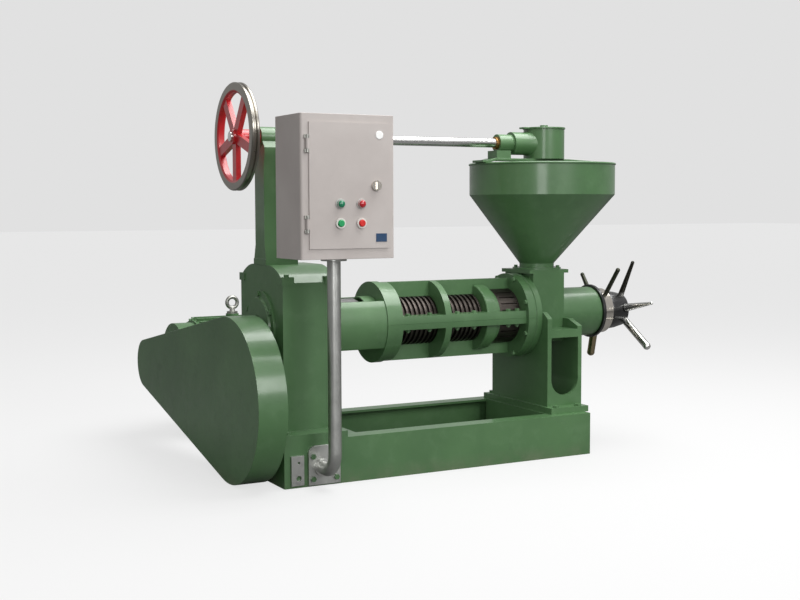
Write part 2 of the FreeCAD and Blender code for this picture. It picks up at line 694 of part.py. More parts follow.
# ---------------------------------------------------------------- adjusting end
ADJUSTER = {
    "sleeve_x1": 730, "thrust_x0": 590, "thrust_x1": 640, "screw_r": 58,
    "journal_r": 28, "dust_x1": "sleeve_x1 + 11", "lock_x0": "dust_x1 + 0.3",
    "lock_x1": 785, "lock_r": 80, "hub_x0": 789, "hub_x1": 883, "lock_plane": 770,
    "hub_plane": 852,
}
sizes(ADJUSTER)
node("adjusting_sleeve", turned("x", "0", "main_z", [
    ("feedbox_x1", "36"), ("feedbox_x1", "sleeve_r"), ("sleeve_x1 - 2", "sleeve_r"),
    ("sleeve_x1", "sleeve_r - 2"), ("sleeve_x1", "screw_r + run"),
    ("feedbox_x1 + 15", "screw_r + run"), ("feedbox_x1 + 15", "36")]))
node("dust_ring", tube("x", "sleeve_x1", "dust_x1", "0", "main_z", "95", "screw_r + 1"))
node("thrust_sleeve", turned("x", "0", "main_z", [
    ("thrust_x0", "journal_r + run"), ("thrust_x0", "screw_r"), ("thrust_x1", "screw_r"),
    ("thrust_x1", "0"), ("thrust_x1 - 4", "0"), ("thrust_x1 - 4", "journal_r + run")]))


def handle(plane, root, tip, first_r, last_r, angle):
    """Handle standing out from the pressing axis at an angle from upright."""
    shaft = cone("z", root, tip, "0", "0", first_r, last_r)
    knob = doc.addObject("Part::Sphere", "knob")
    bind(knob, "Radius", "(%s) + 0.5" % last_r)
    place(knob, "0", "0", tip)
    return swing(join(shaft, knob), angle, plane, "0", "main_z")


def socket(plane, root, radius, angle):
    return swing(rod("z", root, "130", "0", "0", radius + " + seat"), angle, plane, "0",
                 "main_z")


HUB_HANDLES = (("hub_up", 29, 199, 11, 6), ("hub_side", 80, 206, 16, 5),
               ("hub_down", 123, 215, 13, 13))
LOCK_HANDLES = (("lock_left", -36, 155, 9, 7), ("lock_right", 38, 191, 8, 7.5),
                ("lock_down", 193, 159, 13.5, 13.5))
for name, angle, reach, first_r, last_r in HUB_HANDLES + LOCK_HANDLES:
    sizes({name + "_angle": angle, name + "_reach": reach, name + "_r0": first_r,
           name + "_r1": last_r})
hub_solid = turned("x", "0", "main_z", [
    ("thrust_x1 + run", "0"), ("thrust_x1 + run", "screw_r"), ("hub_x0", "screw_r"),
    ("hub_x0", "66"), ("hub_x0 + 6", "69"), ("hub_plane - 20", "66"), ("hub_plane + 16", "58"),
    ("hub_x1 - 6", "44", "60", 1), ("hub_x1", "28"), ("hub_x1", "0")])
node("adjusting_hub", cut(hub_solid, *[socket("hub_plane", "42", n[0] + "_r0", n[0] + "_angle")
                                       for n in HUB_HANDLES]))
node("hub_handles", group(*[handle("hub_plane", "42", n[0] + "_reach", n[0] + "_r0",
                                   n[0] + "_r1", n[0] + "_angle") for n in HUB_HANDLES]))
lock_solid = turned("x", "0", "main_z", [
    ("lock_x0", "screw_r + run"), ("lock_x0", "lock_r - 2"), ("lock_x0 + 2", "lock_r"),
    ("lock_x1 - 2", "lock_r"), ("lock_x1", "lock_r - 2"), ("lock_x1", "screw_r + run")])
node("lock_ring", cut(lock_solid, *[socket("lock_plane", "64", n[0] + "_r0", n[0] + "_angle")
                                    for n in LOCK_HANDLES]))
node("lock_handles", group(*[handle("lock_plane", "64", n[0] + "_reach", n[0] + "_r0",
                                    n[0] + "_r1", n[0] + "_angle") for n in LOCK_HANDLES]))

# ---------------------------------------------------------------- main shaft and worms
SHAFT = {
    "core_r": 32, "worm_x0": -138, "worm_x1": 534, "worm_out": 60, "collar_r": 80,
    "collar_x0": -338, "collar_x1": -213, "worm_count": 5, "blade": 12,
}
sizes(SHAFT)
node("main_shaft", turned("x", "0", "main_z", [
    ("-522", "0"), ("-524 + 4", "shaft_r"), ("collar_x0", "shaft_r"), ("collar_x0", "collar_r"),
    ("collar_x1", "collar_r"), ("worm_x0 - 12", "46"), ("worm_x0", "46"), ("worm_x0", "core_r"),
    ("worm_x1", "core_r"), ("worm_x1", "journal_r"), ("634", "journal_r"), ("634", "0")]))


def worm(start, length, core, pitch):
    """One worm: a collar with a helical blade, bored to slide on the shaft."""
    collar = Part.makeCylinder(core, length, Vector(0, 0, start))
    blade = flight(start + 4, start + length - 14, core, TABLE["worm_out"], pitch,
                   TABLE["blade"])
    bore = Part.makeCylinder(TABLE["core_r"] + TABLE["seat"], length + 2,
                             Vector(0, 0, start - 1))
    whole = collar.fuse(blade).cut(bore)
    whole.rotate(Vector(), Vector(0, 1, 0), 90)
    return whole


WORMS = ((46, 52), (45, 58), (43, 66), (41, 76), (38, 90))
worm_length = (TABLE["worm_x1"] - TABLE["worm_x0"]) / TABLE["worm_count"]
worms = doc.addObject("Part::Feature", "worm_row")
worms.Shape = Part.makeCompound([
    worm(TABLE["worm_x0"] + index * worm_length, worm_length, core, pitch)
    for index, (core, pitch) in enumerate(WORMS)])
node("worms", place(worms, "0", "0", "main_z"))

# ---------------------------------------------------------------- gear train
to_middle = math.atan2(TABLE["mid_z"] - TABLE["in_z"], TABLE["mid_y"] - TABLE["in_y"])
to_main = math.atan2(TABLE["main_z"] - TABLE["mid_z"], 0 - TABLE["mid_y"])
bull_outline = gear_wire(58, 5, 4.6, 6.0, 0.5, to_main + math.pi + math.pi / 58)
bull_teeth = gear_along_x("bull_teeth_row", bull_outline, TABLE["coarse_left"],
                          TABLE["coarse_right"], 0, TABLE["main_z"])
bull_recess = [tube("x", start, end, "0", "main_z", "125", "72")
               for start, end in (("coarse_left - 5", "coarse_left + 18"),
                                  ("coarse_right - 18", "coarse_right + 5"))]
node("bull_gear", cut(
    join(bull_teeth, rod("x", "box_left + 4", "box_right - 7", "0", "main_z", "hub_r")),
    rod("x", "box_left", "box_right", "0", "main_z", "shaft_r + run"), *bull_recess))
start_outline = gear_wire(18, 4, 3.7, 4.8, 0.4, to_middle)
start_teeth = gear_along_x("start_teeth_row", start_outline, TABLE["fine_left"],
                           TABLE["fine_right"], TABLE["in_y"], TABLE["in_z"])
GUARD = {
    "guard_x0": -683, "guard_x1": -592, "guard_big": 254, "guard_small": 85,
    "sheet_t": 2, "key_end": -668, "pulley_x0": -670, "pulley_x1": -606,
    "pulley_r": 205, "motor_pulley_r": 61, "groove_pitch": 19, "belt_deep": 9,
    "belt_half": 5,
}
sizes(GUARD)
node("input_shaft", join(start_teeth, rod("x", "key_end", "box_right - 7", "in_y", "in_z",
                                          "lay_r")))
small_outline = gear_wire(16, 5, 4.6, 6.0, 0.5, to_main)
small_teeth = gear_along_x("small_teeth_row", small_outline, TABLE["coarse_left"],
                           TABLE["coarse_right"], TABLE["mid_y"], TABLE["mid_z"])
node("intermediate_shaft", join(small_teeth, rod("x", "box_left + 4", "box_right - 7", "mid_y",
                                                 "mid_z", "lay_r")))
wheel_outline = gear_wire(50, 4, 3.7, 4.8, 0.4, to_middle + math.pi + math.pi / 50)
wheel_teeth = gear_along_x("wheel_teeth_row", wheel_outline, TABLE["fine_left"],
                           TABLE["fine_right"], TABLE["mid_y"], TABLE["mid_z"])
node("intermediate_gear", cut(
    wheel_teeth,
    rod("x", "fine_left - 5", "fine_right + 5", "mid_y", "mid_z", "lay_r + seat"),
    tube("x", "fine_left - 5", "fine_left + 12", "mid_y", "mid_z", "82", "44"),
    tube("x", "fine_right - 12", "fine_right + 5", "mid_y", "mid_z", "82", "44")))

# ---------------------------------------------------------------- belt drive


def grooved(radius):
    """Rim corners for three belt grooves, from the far side to the near side."""
    corners = []
    for index in (-1, 0, 1):
        centre = "0.5*(pulley_x0 + pulley_x1) + %d*groove_pitch" % index
        corners += [(centre + " - 8.5", radius), (centre + " - 6", radius + " - 13"),
                    (centre + " + 6", radius + " - 13"), (centre + " + 8.5", radius)]
    return corners


pulley_body = turned("x", "in_y", "in_z", [
    ("pulley_x0", "lay_r + seat"), ("pulley_x0", "46"), ("pulley_x0 + 24", "50"),
    ("pulley_x0 + 24", "170"), ("pulley_x0", "174"), ("pulley_x0", "pulley_r")]
    + grooved("pulley_r") + [
    ("pulley_x1", "pulley_r"), ("pulley_x1", "174"), ("pulley_x1 - 24", "170"),
    ("pulley_x1 - 24", "50"), ("pulley_x1", "46"), ("pulley_x1", "lay_r + seat")])
node("large_pulley", cut(pulley_body, *[
    rod("x", "pulley_x0", "pulley_x1", y, z, "34")
    for y, z in circle_points(6, "110", "in_y", "in_z")]))
ROTOR = {
    "rotor_r": 21,
}
sizes(ROTOR)
node("motor_pulley", turned("x", "motor_y", "motor_z", [
    ("pulley_x0 + 6", "rotor_r + seat"), ("pulley_x0 + 6", "40"), ("pulley_x0", "44"),
    ("pulley_x0", "motor_pulley_r")] + grooved("motor_pulley_r") + [
    ("pulley_x1", "motor_pulley_r"), ("pulley_x1", "rotor_r + seat")]))


def loop(low, high, big, small):
    """Teardrop plate round both pulleys, for radii big and small."""
    span_y = TABLE["motor_y"] - TABLE["in_y"]
    span_z = TABLE["motor_z"] - TABLE["in_z"]
    far = math.hypot(span_y, span_z)
    lean = math.atan2(span_z, span_y)
    open_angle = math.acos((value(big) - value(small)) / far)
    spots = []
    for side in (-1, 1):
        angle = lean + side * open_angle
        spots.append(("in_y + (%s)*(%.9f)" % (big, math.cos(angle)),
                      "in_z + (%s)*(%.9f)" % (big, math.sin(angle)),
                      "motor_y + (%s)*(%.9f)" % (small, math.cos(angle)),
                      "motor_z + (%s)*(%.9f)" % (small, math.sin(angle))))
    nose = ("motor_y + (%s)*(%.9f)" % (small, math.cos(lean)),
            "motor_z + (%s)*(%.9f)" % (small, math.sin(lean)))
    back = ("in_y - (%s)*(%.9f)" % (big, math.cos(lean)),
            "in_z - (%s)*(%.9f)" % (big, math.sin(lean)))
    return padded("YZ", low, high, [
        (spots[0][0], spots[0][1]), (spots[0][2], spots[0][3], small, 1),
        nose + (small, 1), (spots[1][2], spots[1][3]), (spots[1][0], spots[1][1], big, 1),
        back + (big, 1)])


guard_shell = cut(loop("guard_x0", "guard_x1", "guard_big", "guard_small"),
                  loop("guard_x0 + sheet_t", "guard_x1 - sheet_t", "guard_big - sheet_t",
                       "guard_small - sheet_t"))
guard_legs = [box("guard_x1 - 0.5", "-base_x", y, y + " + 40", "70", "120")
              for y in ("-80", "90")]
node("belt_guard", cut(join(guard_shell, *guard_legs),
                       rod("x", "guard_x1 - 5", "guard_x1 + 5", "in_y", "in_z", "80"),
                       rod("x", "guard_x1 - 5", "guard_x1 + 5", "motor_y", "motor_z", "50")))
belts = []
for index in (-1, 0, 1):
    centre = "0.5*(pulley_x0 + pulley_x1) + %d*groove_pitch" % index
    belts.append(cut(
        loop(centre + " - belt_half", centre + " + belt_half", "pulley_r - 3",
             "motor_pulley_r - 3"),
        loop(centre + " - belt_half - 1", centre + " + belt_half + 1",
             "pulley_r - 3 - belt_deep", "motor_pulley_r - 3 - belt_deep")))
node("v_belts", group(*belts))

# ---------------------------------------------------------------- motor
MOTOR = {
    "frame_x0": -500, "frame_x1": -215, "frame_core": 148, "frame_r": 160,
    "fin_count": 32, "fin_half": 3, "shield_x0": -572, "shield_x1": -180,
    "shield_r": 140, "stator_r": 112, "rotor_core": 109, "motor_foot_z": 115,
    "foot_x_a": -464, "foot_x_b": -210, "foot_gauge": 127, "fan_x1": -95,
}
sizes(MOTOR)
fins_body = doc.addObject("PartDesign::Body", "finned")
core_profile = sketch(fins_body, "XZ_Plane", [
    ("frame_x0", "0"), ("frame_x0", "frame_core"), ("frame_x1", "frame_core"),
    ("frame_x1", "0")])
core_spin = fins_body.newObject("PartDesign::Revolution", "core")
core_spin.Profile = core_profile
core_spin.ReferenceAxis = (core_profile, ["H_Axis"])
core_spin.Angle = 360
fin_profile = sketch(fins_body, "XZ_Plane", [
    ("frame_x0 + 8", "frame_core - 6"), ("frame_x0 + 8", "frame_r"),
    ("frame_x1 - 8", "frame_r"), ("frame_x1 - 8", "frame_core - 6")])
fin = fins_body.newObject("PartDesign::Pad", "fin")
fin.Profile = fin_profile
bind(fin, "Length", "2*fin_half")
fin.SideType = "Symmetric"
fins = fins_body.newObject("PartDesign::PolarPattern", "fins")
fins.Originals = [fin]
fins.Axis = (core_profile, ["H_Axis"])
fins.Angle = 360
fins.Occurrences = int(TABLE["fin_count"])
fins_body.Tip = fins
place(fins_body, "0", "motor_y", "motor_z")
legs = [box("foot_x_a - 28", "foot_x_b + 28", y, y + " + 64", "motor_foot_z",
            "motor_foot_z + 18") for y in ("motor_y - foot_gauge - 32",
                                           "motor_y + foot_gauge - 32")]
legs += [box(x + " - 24", x + " + 24", y, y + " + 30", "motor_foot_z", "motor_z - 90")
         for x in ("foot_x_a", "foot_x_b - 20")
         for y in ("motor_y - foot_gauge", "motor_y + foot_gauge - 30")]
motor_solid = join(
    fins_body, rod("x", "shield_x0", "frame_x0", "motor_y", "motor_z", "shield_r"),
    rod("x", "frame_x1", "shield_x1", "motor_y", "motor_z", "shield_r + 6"),
    rod("z", "motor_z + 140", "motor_z + 167", "-343", "motor_y", "24"),
    box("-450", "-340", "motor_y + 120", "motor_y + 168", "motor_z - 50", "motor_z + 50"),
    *legs)
motor_holes = []
for x in ("foot_x_a", "foot_x_b"):
    for y in ("motor_y - foot_gauge - 16", "motor_y + foot_gauge + 16"):
        BOLTS.append(bolt("z", "motor_foot_z + 18", "86", x, y, "bolt_r + 1", -1))
        motor_holes.append(hole("z", "motor_foot_z + 18", "86", x, y, "bolt_r + 1", -1))
node("motor_frame", cut(
    motor_solid, rod("x", "shield_x0 + 26", "shield_x1 - 20", "motor_y", "motor_z", "stator_r"),
    rod("x", "shield_x0 - 1", "shield_x1 + 1", "motor_y", "motor_z", "rotor_r + run"),
    *motor_holes))
cowl_holes = [rod("x", "fan_x1 - 10", "fan_x1 + 2", y, z, "9")
              for y, z in circle_points(10, "70", "motor_y", "motor_z")]
node("motor_fan_cover", cut(
    turned("x", "motor_y", "motor_z", [
        ("shield_x1", "146"), ("shield_x1", "150"), ("fan_x1 - 20", "150"),
        ("fan_x1", "120"), ("fan_x1", "0"), ("fan_x1 - 4", "0"), ("fan_x1 - 4", "117"),
        ("fan_x1 - 22", "146")]),
    *cowl_holes))
node("terminal_box", join(
    box("-452", "-338", "motor_y + 168", "motor_y + 226", "motor_z - 55", "motor_z + 55"),
    box("-456", "-334", "motor_y + 226", "motor_y + 234", "motor_z - 59", "motor_z + 59")))
node("motor_eye_bolt", join(
    rod("z", "motor_z + 167", "motor_z + 175", "-343", "motor_y", "20"),
    cone("z", "motor_z + 175", "motor_z + 189", "-343", "motor_y", "11", "8"),
    torus("y", "-343", "motor_y", "motor_z + 208", "20", "7")))
node("motor_rotor", join(
    rod("x", "pulley_x0 + 6", "-150", "motor_y", "motor_z", "rotor_r"),
    rod("x", "-490", "-230", "motor_y", "motor_z", "rotor_core"),
    rod("x", "-165", "-155", "motor_y", "motor_z", "100")))


def slide_channel(x):
    """Channel under one pair of motor feet, with a slide rail on it."""
    profile = [(x + " - 28", "0"), (x + " + 28", "0"), (x + " + 28", "7"),
               (x + " - 21", "7"), (x + " - 21", "86"), (x + " + 28", "86"),
               (x + " + 28", "94"), (x + " - 28", "94")]
    return [padded("XZ", "base_y", "905", profile),
            box(x + " - 24", x + " + 24", "motor_y - 165", "motor_y + 140", "94",
                "motor_foot_z")]


node("motor_base", cut(
    join(*(slide_channel("foot_x_a") + slide_channel("foot_x_b")
           + [box("foot_x_a - 28", "foot_x_b + 28", "905", "913", "0", "94")])),
    *motor_holes))

# ---------------------------------------------------------------- handwheel and feeder
WHEEL = {
    "wheel_x0": -618, "wheel_x1": -592, "wheel_r": 165, "wheel_in": 135,
    "wheel_hub": 23, "spoke_y": 15, "spoke_half": 8, "hub_stop": -534.4,
}
sizes(WHEEL)
wheel_rim = turned("x", "0", "feed_z", [
    ("wheel_x0 + 4", "wheel_in"), ("wheel_x0", "wheel_in + 6"), ("wheel_x0", "wheel_r - 3"),
    ("wheel_x0 + 3", "wheel_r"), ("wheel_x0 + 8", "wheel_r"), ("wheel_x0 + 11", "wheel_r - 5"),
    ("wheel_x1 - 11", "wheel_r - 5"), ("wheel_x1 - 8", "wheel_r"), ("wheel_x1 - 3", "wheel_r"),
    ("wheel_x1", "wheel_r - 3"), ("wheel_x1", "wheel_in + 6"), ("wheel_x1 - 4", "wheel_in")])
spokes = []
for index in range(5):
    arm = box("-spoke_half", "spoke_half", "-spoke_y", "spoke_y", "wheel_hub - 6", "wheel_in + 6")
    spokes.append(swing(arm, 36 + 72 * index, "0.5*(wheel_x0 + wheel_x1)", "0", "feed_z"))
node("handwheel", cut(join(wheel_rim, rod("x", "wheel_x0 - 4", "hub_stop", "0", "feed_z",
                                          "wheel_hub"), *spokes),
                      rod("x", "wheel_x0 - 10", "hub_stop + 5", "0", "feed_z",
                          "feed_r + seat")))

BEVELS = {
    "apex_x": 533, "bevel_module": 3, "bevel_small": 16, "bevel_large": 24,
    "pin_back": "apex_x - 50",
}
sizes(BEVELS)
node("feeder_shaft", rod("x", "-628", "pin_back + 12", "0", "feed_z", "feed_r"))


def bevel(name, teeth, distance, phase, hub_r, hub_back, back_r):
    """Bevel wheel about Z with its apex at the origin and teeth pointing up."""
    outline = gear_wire(teeth, TABLE["bevel_module"], 1.6, 4.0, 0.6, phase)
    wires = []
    for scale in (1.0, 0.72):
        corners = [Vector(p[0] * scale, p[1] * scale, -distance * scale) for p in outline]
        wires.append(Part.makePolygon(corners + [corners[0]]))
    toothed = Part.makeLoft(wires, True, True)
    hub = Part.makeCylinder(back_r, hub_back, Vector(0, 0, -distance - hub_back))
    bore = Part.makeCylinder(hub_r, 100, Vector(0, 0, -distance - 50))
    item = doc.addObject("Part::Feature", name)
    item.Shape = toothed.fuse(hub).cut(bore)
    return item


small_bevel = bevel("small_bevel", int(TABLE["bevel_small"]), 36.0, math.pi,
                    TABLE["feed_r"] + TABLE["seat"], 14, 19.8)
small_bevel.Placement = FreeCAD.Placement(Vector(), FreeCAD.Rotation(Vector(0, 1, 0), 90))
node("bevel_pinion", place(small_bevel, "apex_x", "0", "feed_z"))
large_bevel = bevel("large_bevel", int(TABLE["bevel_large"]), 24.0,
                    math.pi + math.pi / TABLE["bevel_large"], 12 + TABLE["seat"], 10, 26)
node("bevel_gear", place(large_bevel, "apex_x", "0", "feed_z"))

CASE = {
    "case_r": 71, "case_in": "case_r - 6", "case_z0": "feed_z - 52",
    "case_z1": "feed_z + 51", "lid_z": "case_z1 + 6", "stir_r": 12,
}
sizes(CASE)
case_solid = join(
    rod("x", "337", "393", "0", "feed_z", "30"), rod("x", "393", "450", "0", "feed_z", "39"),
    cone("x", "450", "478", "0", "feed_z", "39", "44"),
    rod("z", "case_z0", "case_z1", "apex_x", "0", "case_r"),
    box("321", "377", "-30", "30", "case_z0", "case_z0 + 26"),
    box("345", "371", "-14", "14", "case_z0 + 20", "feed_z - 10"),
    rod("z", "case_z0 - 19", "case_z0 + 8", "apex_x", "0", "20"))
node("bevel_housing", cut(
    case_solid, rod("z", "case_z0 + 6", "case_z1 + 1", "apex_x", "0", "case_in"),
    rod("x", "330", "480", "0", "feed_z", "bush_r"),
    rod("z", "case_z0 - 30", "case_z0 + 20", "apex_x", "0", "stir_r + run")))
node("gear_cover_lid", join(
    rod("z", "case_z1", "lid_z", "apex_x", "0", "case_r + 3"),
    box("440", "480", "-16", "16", "case_z1", "lid_z"),
    rod("z", "lid_z", "lid_z + 9", "apex_x", "0", "14")))

# ---------------------------------------------------------------- hopper
HOPPER = {
    "band_x": 525, "band_r": 252.7, "band_z1": "case_z0 - 19",
    "band_z0": "band_z1 - 105", "neck_r": 60, "neck_z": "feed_top + 20", "bridge_y": 35,
    "bridge_z": "band_z1 + 4",
    "stir_low": "feedbox_z1 - 8", "stir_arm_z": "band_z0 + 22", "stir_mid_z": "band_z0 - 78",
}
sizes(HOPPER)


def ring_wire(x, z, radius):
    item = doc.addObject("Part::Circle", "ring")
    bind(item, "Radius", radius)
    return place(item, x, "0", z)


def funnel(thin):
    item = doc.addObject("Part::Loft", "funnel")
    item.Sections = [ring_wire("mouth_x", "neck_z", "neck_r - %s" % thin),
                     ring_wire("band_x", "band_z0", "band_r - %s" % thin)]
    item.Solid = True
    item.Ruled = True
    return item


hopper_outer = join(
    funnel("0"), rod("z", "band_z0", "band_z1", "band_x", "0", "band_r"),
    rod("z", "feed_top", "neck_z", "mouth_x", "0", "neck_r"),
    rod("z", "feed_top", "feed_top + 6", "mouth_x", "0", "84"),
    torus("z", "band_x", "0", "band_z1", "band_r - 1", "4"))
hopper_inner = join(
    funnel("sheet_t"), rod("z", "band_z0", "band_z1 + 9", "band_x", "0", "band_r - sheet_t"),
    rod("z", "feed_top - 1", "neck_z", "mouth_x", "0", "neck_r - sheet_t"))
node("hopper", cut(hopper_outer, hopper_inner, *mouth_holes))
node("hopper_bridge", cut(
    padded("XZ", "-bridge_y", "bridge_y", [
        ("262", "bridge_z"), ("290", "bridge_z"), ("316", "bridge_z + 7"),
        ("614", "bridge_z + 7"), ("760", "bridge_z"), ("788", "bridge_z"),
        ("788", "bridge_z + 8"), ("762", "bridge_z + 8"), ("616", "bridge_z + 15"),
        ("314", "bridge_z + 15"), ("288", "bridge_z + 8"), ("262", "bridge_z + 8")]),
    rod("z", "band_z1 - 13", "case_z0 + 8", "apex_x", "0", "20.3")))
stir_parts = [rod("z", "stir_low", "case_z0 + 36", "0", "0", "stir_r"),
              rod("x", "-150", "150", "0", "stir_arm_z", "8"),
              rod("y", "-95", "95", "0", "stir_mid_z", "8"),
              rod("z", "stir_arm_z - 50", "stir_arm_z", "-142", "0", "7"),
              rod("z", "stir_arm_z - 50", "stir_arm_z", "142", "0", "7")]
stir_blade = doc.addObject("Part::Feature", "stir_blade")
stir_blade.Shape = flight(
    TABLE["stir_low"] + 5, TABLE["neck_z"] + 50, TABLE["stir_r"], 25, 45, 5)
node("agitator", place(join(*(stir_parts + [stir_blade])), "apex_x", "0", "0"))

# ---------------------------------------------------------------- control box
CABINET = {
    "cab_x0": -580, "cab_x1": -285, "cab_y0": -430, "cab_y1": -250, "cab_z0": 690,
    "cab_z1": 1100, "cab_round": 8, "cab_wall": 3, "door_x0": -555, "door_x1": -305,
    "door_z0": 720, "door_z1": 1076, "door_back": -430.5, "door_face": -434,
    "pin_x": -561, "pin_y": -436, "pin_r": 3, "knuckle_r": 5.4, "lamp_x_a": -460,
    "lamp_x_b": -394, "lamp_z": 847, "lamp_r": 12, "button_z": 792, "button_r": 10,
    "bezel_r": 15, "lock_px": -346, "lock_pz": 899,
}
sizes(CABINET)
cab_outer = padded("XY", "cab_z0", "cab_z1", [
    ("cab_x0", "cab_y1"), ("cab_x0", "cab_y0 + cab_round", "cab_round", 1),
    ("cab_x0 + cab_round", "cab_y0"), ("cab_x1 - cab_round", "cab_y0", "cab_round", 1),
    ("cab_x1", "cab_y0 + cab_round"), ("cab_x1", "cab_y1")])
node("control_box", cut(
    cab_outer,
    box("cab_x0 + cab_wall", "cab_x1 - cab_wall", "cab_y0 + cab_wall", "cab_y1 - cab_wall",
        "cab_z0 + cab_wall", "cab_z1 - cab_wall"),
    box("door_x0 + 10", "door_x1 - 10", "cab_y0 - 1", "cab_y0 + cab_wall + 1",
        "door_z0 + 10", "door_z1 - 10")))
pins = []
knuckles = []
for low in ("765", "990"):
    pins.append(join(
        rod("z", low, low + " + 50", "pin_x", "pin_y", "pin_r"),
        rod("z", low, low + " + 10", "pin_x", "pin_y", "knuckle_r"),
        rod("z", low + " + 40", low + " + 50", "pin_x", "pin_y", "knuckle_r"),
        box("pin_x - 8", "pin_x", "pin_y", "cab_y0", low, low + " + 10"),
        box("pin_x - 8", "pin_x", "pin_y", "cab_y0", low + " + 40", low + " + 50")))
    knuckles.append(join(
        rod("z", low + " + 10.4", low + " + 39.6", "pin_x", "pin_y", "knuckle_r"),
        box("pin_x", "door_x0 + 1", "door_face", "door_back", low + " + 10.4",
            low + " + 39.6")))
node("hinge_pins", group(*pins))
door_holes = [rod("z", "700", "1100", "pin_x", "pin_y", "pin_r + run")]
door_holes += [rod("y", "door_face - 1", "door_back + 1", x, "button_z", "button_r + run")
               for x in ("lamp_x_a", "lamp_x_b")]
door_holes.append(rod("y", "door_face - 1", "door_back + 1", "lock_px", "lock_pz", "8 + run"))
node("control_door", cut(
    join(box("door_x0", "door_x1", "door_face", "door_back", "door_z0", "door_z1"), *knuckles),
    *door_holes))
node("door_lock", join(
    rod("y", "door_face - 7", "door_face - run", "lock_px", "lock_pz", "15"),
    rod("y", "door_face - 7", "door_back + 12", "lock_px", "lock_pz", "8"),
    box("lock_px - 6", "lock_px + 6", "door_back + 8", "door_back + 12", "lock_pz - 26",
        "lock_pz + 8"),
    box("lock_px - 2", "lock_px + 2", "door_face - 12", "door_face - 7", "lock_pz - 10",
        "lock_pz + 10")))
node("signal_lamps", group(*[
    turned("y", x, "lamp_z", [("door_face", "0"), ("door_face", "lamp_r + 3"),
                              ("door_face - 3", "lamp_r + 3"), ("door_face - 4", "lamp_r"),
                              ("door_face - 11", "lamp_r - 2"), ("door_face - 14", "6"),
                              ("door_face - 15", "0")]) for x in ("lamp_x_a", "lamp_x_b")]))
node("button_bezels", group(*[
    tube("y", "door_face - 6", "door_face", x, "button_z", "bezel_r", "button_r + run")
    for x in ("lamp_x_a", "lamp_x_b")]))
for name, x in (("start_button", "lamp_x_a"), ("stop_button", "lamp_x_b")):
    node(name, turned("y", x, "button_z", [
        ("door_back + 10", "0"), ("door_back + 10", "button_r"), ("door_face - 9", "button_r"),
        ("door_face - 11", "button_r - 2"), ("door_face - 11", "0")]))

# ---------------------------------------------------------------- pole
POLE = {
    "pole_x": -440, "pole_y": -345, "pole_r": 20, "pole_low": 57, "pole_bend": 60,
}
sizes(POLE)


def bent_pipe(radius):
    """Upright, a quarter bend and a level leg running back to the base."""
    x = TABLE["pole_x"]
    y = TABLE["pole_y"]
    low = TABLE["pole_low"]
    bend = TABLE["pole_bend"]
    top = Vector(x, y, TABLE["cab_z0"] - 8)
    start = Vector(x, y, low + bend)
    middle = Vector(x, y + bend * (1 - math.sqrt(0.5)), low + bend * (1 - math.sqrt(0.5)))
    turn = Vector(x, y + bend, low)
    end = Vector(x, TABLE["plate_y"] - 9, low)
    path = Part.Wire([Part.LineSegment(top, start).toShape(),
                      Part.Arc(start, middle, turn).toShape(),
                      Part.LineSegment(turn, end).toShape()])
    ring = Part.Wire(Part.makeCircle(radius, top, Vector(0, 0, -1)))
    return path.makePipeShell([ring], True, False)


pipe = doc.addObject("Part::Feature", "pipe")
pipe.Shape = bent_pipe(TABLE["pole_r"]).cut(bent_pipe(TABLE["pole_r"] - 3))
node("pole", join(pipe, rod("z", "cab_z0 - 8", "cab_z0", "pole_x", "pole_y", "38")))
pole_plate = join(
    padded("XZ", "plate_y", "-base_y", [
        ("-484", "5"), ("-379", "5"), ("-379", "100", "24", 1), ("-403", "124"),
        ("-460", "124", "24", 1), ("-484", "100")]),
    rod("y", "plate_y - 9", "plate_y", "pole_x", "pole_low", "26"))
strap = cut(box("-540", "-499", "plate_y", "-base_y", "8", "98"),
            rod("y", "plate_y - 5", "-base_y + 5", "-516", "77", "4"),
            rod("y", "plate_y - 5", "-base_y + 5", "-516", "30", "8"))
node("pole_brackets", cut(group(pole_plate, strap), *plate_holes))
node("frame_bolts", group(*(BOLTS + plate_bolts)))

# ---------------------------------------------------------------- checks and export
doc.recompute()
failed = []
for item in doc.Objects:
    if "Invalid" in item.State or "Error" in item.State:
        failed.append(item.Label)
    if item.TypeId.startswith("Part") and hasattr(item, "Shape"):
        if item.Shape.isNull() or not item.Shape.isValid():
            failed.append(item.Label)
if failed:
    raise RuntimeError("pieces that failed: %s" % ", ".join(sorted(set(failed))))
os.makedirs("parts", exist_ok=True)
for item in NODES:
    item.Shape.exportStep("parts/%s.step" % item.Label)
print("%d pieces written" % len(NODES))
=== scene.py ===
import math

import bmesh
import bpy
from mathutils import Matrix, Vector


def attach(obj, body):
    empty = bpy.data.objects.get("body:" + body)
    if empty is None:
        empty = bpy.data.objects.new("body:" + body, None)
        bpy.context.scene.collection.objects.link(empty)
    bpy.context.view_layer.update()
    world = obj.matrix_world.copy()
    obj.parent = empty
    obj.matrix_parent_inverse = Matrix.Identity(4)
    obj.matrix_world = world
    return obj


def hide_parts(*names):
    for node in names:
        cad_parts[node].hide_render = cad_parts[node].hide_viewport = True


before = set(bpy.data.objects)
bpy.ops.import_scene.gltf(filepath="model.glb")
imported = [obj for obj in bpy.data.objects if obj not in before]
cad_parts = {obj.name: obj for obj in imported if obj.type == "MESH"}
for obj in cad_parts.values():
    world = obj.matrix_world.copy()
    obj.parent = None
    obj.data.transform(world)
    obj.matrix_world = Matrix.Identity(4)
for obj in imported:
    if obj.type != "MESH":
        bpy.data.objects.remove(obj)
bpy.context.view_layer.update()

# ------------------------------------------------------------------ base frame
# Rectangle welded from rolled steel channel, webs outward, with two more
# channels behind it for the motor.  Sprayed with machine enamel, dusty low down.


